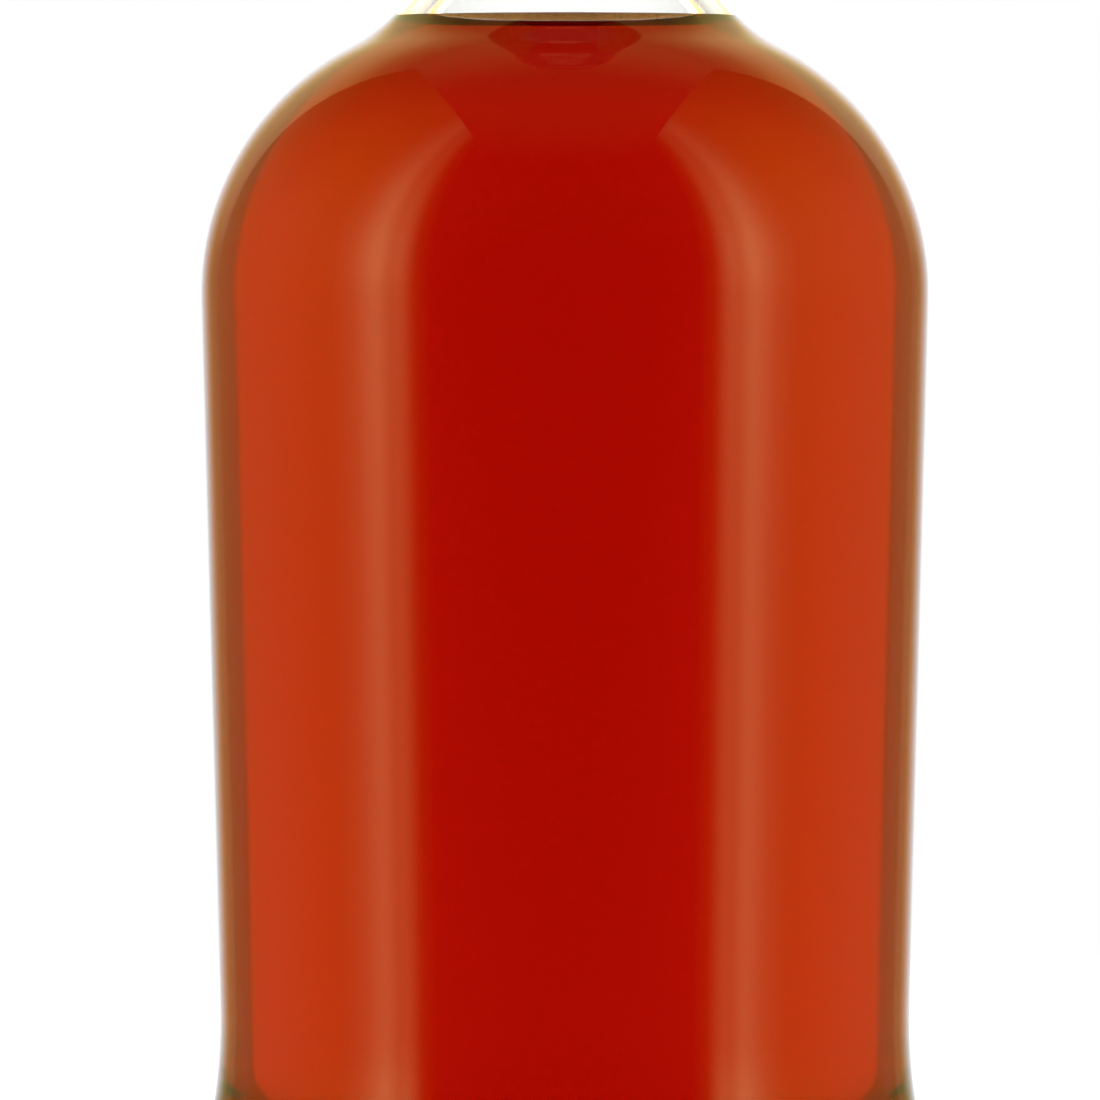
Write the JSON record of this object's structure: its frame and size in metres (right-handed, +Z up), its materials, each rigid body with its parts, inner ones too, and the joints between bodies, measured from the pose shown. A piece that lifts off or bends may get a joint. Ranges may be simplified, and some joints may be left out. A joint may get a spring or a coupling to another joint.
{
  "type": "rum bottle",
  "caption": "Clear glass bottle with a round shoulder, a slight waist and a flared foot, filled with amber rum and closed by a wooden stopper on a cork shank.",
  "frame": {"origin": "centre of the ring that the bottle stands on", "axes": "+Z up along the bottle's axis; the bottle is round, so X and Y are free"},
  "size_m": [0.09, 0.09, 0.2476],
  "materials": {
    "flint_glass": "clear, fire-polished",
    "rum": "clear liquid, deep red-amber",
    "cork": "natural cork, matt",
    "turned_wood": "turned beech, stained dark, satin lacquer"
  },
  "bodies": {
    "root": {"bottle_glass": "flint_glass", "rum": "rum", "stopper_cork": "cork", "stopper_head": "turned_wood"}
  },
  "joints": []
}
